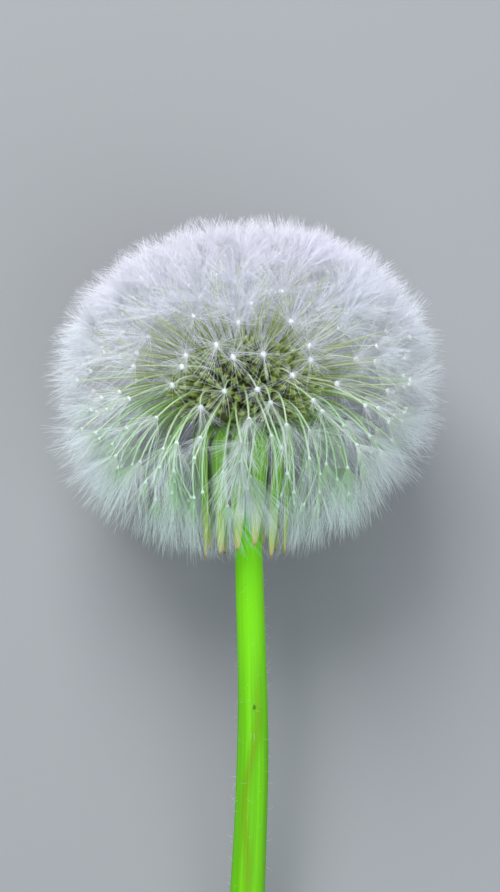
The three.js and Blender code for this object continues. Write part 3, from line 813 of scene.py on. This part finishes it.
beak_finish, tree, shader = new_material("pale beak", 0.45, specular=0.4)
along, tone = own_place(tree)
near_seed = blend_colours(tree, tone, paint(0.54, 0.60, 0.33), paint(0.48, 0.64, 0.34))
near_cup = blend_colours(tree, tone, paint(0.80, 0.84, 0.71), paint(0.66, 0.82, 0.64))
stalk = blend_colours(tree, smooth_step(tree, along, 0.08, 0.46), near_seed, near_cup)
cup = blend_colours(tree, tone, paint(0.94, 0.96, 0.98), paint(0.78, 0.90, 0.82))
stalk = blend_colours(tree, smooth_step(tree, along, 0.62, 0.72), stalk, cup)
tree.links.new(stalk, shader.inputs["Base Color"])
add_piece(
    "beaks",
    beak_points.reshape(-1, 3),
    [beak_faces, beak_caps, beak_tops],
    [beak_places, beak_cap_places, beak_top_places],
    beak_finish,
    "beaks_with_pappus",
)

# ---------------------------------------------------------------------------------------------------------
# Pappus: a parasol of silky white bristles round each cup, which cling together at their tips in small
# pointed tufts. Upper parasols are open wide, and lower ones hang half closed like brushes. They end in the
# globe's surface, and lie flat where it touches the ground.

TUFTS = 9
TUFT_BRISTLES = 9
TUFT_SPREAD = 0.20
LOOSE_BRISTLES = 150
BRISTLE_LENGTH = 6.8
BRISTLE_RADIUS = 0.022
# Where along a bristle its points lie, and its thickness at all but the last as a share of BRISTLE_RADIUS.
TUFT_SHARE, TUFT_TAPER = np.array([0, 0.30, 0.88, 1]), np.array([1.20, 0.68, 0.52])
LOOSE_SHARE, LOOSE_TAPER = np.array([0, 0.80, 1]), np.array([0.7, 0.42])

openness = np.clip(0.6 + 0.75 * hub_direction[:, 2] + draws.normal(0, 0.08, FRUITS), 0, 1)[:, None]
steepest, widest = np.radians(5 + 17 * openness), np.radians(22 + 32 * openness)
hub_normal = unit(hub / HUB_BALL**2)
straight = 0.75 - 0.25 * openness
parasol_axis = unit(straight * beak_end + (1 - straight) * hub_normal + draws.normal(0, 0.12, (FRUITS, 3)))
parasol_level, parasol_upright = square_to(parasol_axis)
rim = hub + beak_end * 0.36


def spread_and_turn(count, wider):
    """For `count` directions in each parasol: the angle from its axis, evenly dense between the steepest and
    `wider` radians past the widest but a little denser outside, and the angle round it."""
    quantile = (np.arange(count) + 0.5) / count
    cos_steep, cos_wide = np.cos(steepest), np.cos(widest + wider)
    angle = np.arccos(cos_steep + (cos_wide - cos_steep) * quantile**0.8)
    around = np.arange(count) * GOLDEN_ANGLE + 2 * math.pi * draws.random((FRUITS, 1))
    return angle + draws.normal(0, 0.06, angle.shape), around + draws.normal(0, 0.15, angle.shape)


def bristle_path(share, spread, turn, lean, swing, cling, curl, length):
    """Middle lines of bristles. Each leaves the cup's rim at its own lean and swing from its tuft's direction
    and loses its share `cling` of both on the way, so that a tuft closes to a point. Its curl turns it
    towards or away from the axis."""
    apart = 1 - cling[..., None] * share
    angle = (spread + np.maximum(lean, 0.05 - spread))[..., None] - spread[..., None]
    angle = spread[..., None] + angle * apart + curl[..., None] * share
    around = turn[..., None] + swing[..., None] * apart
    fruit = (slice(None),) + (None,) * (angle.ndim - 1)
    sideways = parasol_level[fruit] * np.cos(around)[..., None]
    sideways = sideways + parasol_upright[fruit] * np.sin(around)[..., None]
    run = length[..., None] * share
    beside = 0.85 * CUP_RADIUS * np.sin(spread)[..., None] + run * np.sin(angle)
    ahead = parasol_axis[fruit] * (run * np.cos(angle))[..., None]
    return rim[fruit] + sideways * beside[..., None] + ahead


def globe_share(points):
    """How far out a point is: 1 on the globe's surface."""
    return np.linalg.norm(points / GLOBE, axis=-1)


def clear_of_stem(points):
    """Points nearer to the axis than the bracts or the stem, moved straight out to just clear them."""
    flat = np.linalg.norm(points[..., :2], axis=-1, keepdims=True)
    height = points[..., 2:]
    keep_out = np.interp(height, [-21.5, -19.8, -4.0, -3.0], [2.6, 6.2, 6.6, 0.0])
    keep_out = np.where(height > -3.0, 0.0, keep_out)
    outward_scale = np.maximum(1, keep_out / np.maximum(flat, 1e-6))
    return points * np.append(outward_scale * [1, 1], np.ones_like(flat), -1)


def grown_bristles(share, spread, turn, lean, swing, cling, curl, length, limit):
    """Bristles cut to their limit in the globe, clear of the stem and of the ground, as [fruit, bristle,
    point]."""
    shape = (share, spread, turn, lean, swing, cling, curl)
    path = bristle_path(*shape, length)
    tip_share, root_share = globe_share(path[..., -1, :]), globe_share(path[..., 0, :])
    shorten = np.clip((limit - root_share) / np.maximum(tip_share - root_share, 1e-6), 0.3, 1)
    path = clear_of_stem(bristle_path(*shape, length * np.where(tip_share > limit, shorten, 1)))
    path[..., 0] = np.clip(path[..., 0], -GLOBE[0], GLOBE[0])
    path = above_surface(path, 0.03 + 0.2 * draws.random((*spread.shape, 1)))
    return path.reshape(FRUITS, -1, len(share), 3)


lower = 1 - openness
# The globe is a little lopsided: it reaches further out at the bottom, the bottom left and the top right.
# Each bulge as its share of the globe's size and its direction
BULGES = ((0.05, [[-0.62], [0.0], [-0.78]]), (0.025, [[0.70], [0.0], [0.71]]))
uneven_reach = 0.02 * np.clip(-2 * hub_direction[:, 2:] - 0.3, 0, 1)
for bulge, direction in BULGES:
    uneven_reach += bulge * np.clip(7 * hub_direction @ direction - 5.4, 0, 1)
tuft_spread, tuft_turn = spread_and_turn(TUFTS, 0.0)
tuft_length = BRISTLE_LENGTH * (1 + 0.22 * lower + draws.normal(0, 0.06, tuft_spread.shape))
tuft_limit = 1 + uneven_reach - 0.10 * draws.random(tuft_spread.shape) ** 1.5
each = (FRUITS, TUFTS, TUFT_BRISTLES)
spread = np.repeat(tuft_spread[..., None], TUFT_BRISTLES, -1)
tufts = grown_bristles(
    TUFT_SHARE,
    spread,
    np.repeat(tuft_turn[..., None], TUFT_BRISTLES, -1),
    draws.normal(0, TUFT_SPREAD, each),
    draws.normal(0, TUFT_SPREAD, each) / np.maximum(np.sin(spread), 0.25),
    0.45 + 0.50 * draws.random(each),
    draws.normal(-0.04, 0.07, each),
    tuft_length[..., None] * (1 + draws.normal(0, 0.035, each)),
    tuft_limit[..., None] * (1 - 0.02 * draws.random(each)),
)
spread, turn = spread_and_turn(LOOSE_BRISTLES, 0.15)
loose = grown_bristles(
    LOOSE_SHARE,
    spread,
    turn,
    draws.normal(0, 0.08, spread.shape),
    draws.normal(0, 0.2, spread.shape),
    np.zeros_like(spread),
    draws.normal(-0.05, 0.12, spread.shape),
    BRISTLE_LENGTH * (0.97 + 0.22 * lower + draws.normal(0, 0.07, spread.shape)),
    0.96 + uneven_reach - 0.05 * draws.random(spread.shape),
)
# Bristles are finest halfway up the globe.
fineness = np.interp(hub_direction[:, 2:], [-0.6, 0.0, 0.5], [0.92, 0.76, 1.0])
# Each parasol's height on the globe, a little uneven, which sets the painted light, shade and glow of its
# bristles.
painted_light_by_height = np.clip(0.5 + 0.45 * hub_direction[:, 2] + draws.normal(0, 0.05, FRUITS), 0, 1)

pappus_finish, tree, shader = new_material("silky white bristle", 0.4, specular=0.5, sheen=0.3)
along, tone = own_place(tree)
# Painted light and shade by height on the globe: the upper parasols are painted whiter and faintly lavender,
# with bright white roots, as if lit from above; the lower ones duller and greener, along a longer stretch from
# the root, as if in shade.
halfway_up = smooth_step(tree, tone, 0.0, 0.5)
silk = blend_colours(tree, halfway_up, paint(0.83, 0.93, 0.91), paint(0.90, 0.94, 0.97))
silk = blend_colours(tree, smooth_step(tree, tone, 0.5, 0.95), silk, paint(0.94, 0.94, 1.0))
root = blend_colours(tree, smooth_step(tree, tone, 0.1, 0.6), paint(0.60, 0.84, 0.58), paint(0.99, 0.99, 1.0))
shorter_up = {"Value": tone, "From Max": 0.6, "To Min": 0.75, "To Max": 0.30}
root_length = put(tree, "ShaderNodeMapRange", shorter_up).outputs["Result"]
silk = blend_colours(tree, smooth_step(tree, along, root_length, 0.0), silk, root)
tree.links.new(silk, shader.inputs["Base Color"])
# Painted glow: the bristles emit a little light, most of all at the roots of the upper parasols where they
# crowd together, so their roots are never dark. It stands in for the light that hairs pass on to each other.
shader.inputs["Emission Color"].default_value = paint(0.97, 0.98, 1.0)
painted_glow_by_height = math_node(tree, "MULTIPLY", smooth_step(tree, tone, -0.1, 0.6), 0.12)
painted_root_glow = math_node(tree, "MULTIPLY", smooth_step(tree, along, 0.35, 0.0), painted_glow_by_height)
tree.links.new(math_node(tree, "ADD", painted_root_glow, 0.03), shader.inputs["Emission Strength"])


def add_bristles(name, path, share, taper, kept):
    """A piece with the kept ones of the bristles. `share` says how far along them their points lie."""
    line = path[kept]
    fruit = np.nonzero(kept)[0]
    across_bristle = np.cross(line[:, 1] - line[:, 0], [0.31, 0.47, 0.83])
    radius = BRISTLE_RADIUS * taper * fineness[fruit]
    points, walls, ends = slivers(line, radius, across_bristle)
    places = sliver_places(len(line), share, painted_light_by_height[fruit])
    faces = [walls, ends]
    add_piece(name, points, faces, [places[f] for f in faces], pappus_finish, "beaks_with_pappus")


# The share of its bristles that a parasol keeps, by its height on the globe: the lower parasols are thinner.
HEIGHTS = [-0.75, -0.35, 0.0, 0.35, 0.7]
TUFTS_LEFT = [0.32, 0.44, 0.34, 0.65, 1.0]
LOOSE_LEFT = [0.12, 0.26, 0.18, 0.45, 1.0]
# Those that hang right before the stem are fuller and those beside it thinner, so that the bracts show there.
# Those that face the ground are fuller too.
from_axis = np.abs(hub_direction[:, :1])
before_stem = np.clip(-6 * hub_direction[:, 2:] - 1.5, 0, 1) * (hub_direction[:, 1:2] < 0)
before_stem *= 0.45 * np.exp(-((from_axis / 0.10) ** 2)) - 0.25 * np.exp(-(((from_axis - 0.25) / 0.12) ** 2))
facing_ground = 0.25 * np.clip(3 * hub_direction[:, 1:2], 0, 1)
tufts_left = np.interp(hub_direction[:, 2:], HEIGHTS, TUFTS_LEFT) + before_stem + facing_ground
loose_left = np.interp(hub_direction[:, 2:], HEIGHTS, LOOSE_LEFT) + before_stem + facing_ground
tufts_kept = draws.random(tufts.shape[:2]) < tufts_left
loose_kept = draws.random(loose.shape[:2]) < loose_left
PAPPUS_PARTS = ("crown", "upper", "lower", "skirt")
for number, part in enumerate(PAPPUS_PARTS):
    here = np.arange(FRUITS)[:, None] * len(PAPPUS_PARTS) // FRUITS == number
    add_bristles("pappus_tufts_" + part, tufts, TUFT_SHARE, TUFT_TAPER, tufts_kept & here)
    add_bristles("pappus_loose_" + part, loose, LOOSE_SHARE, LOOSE_TAPER, loose_kept & here)
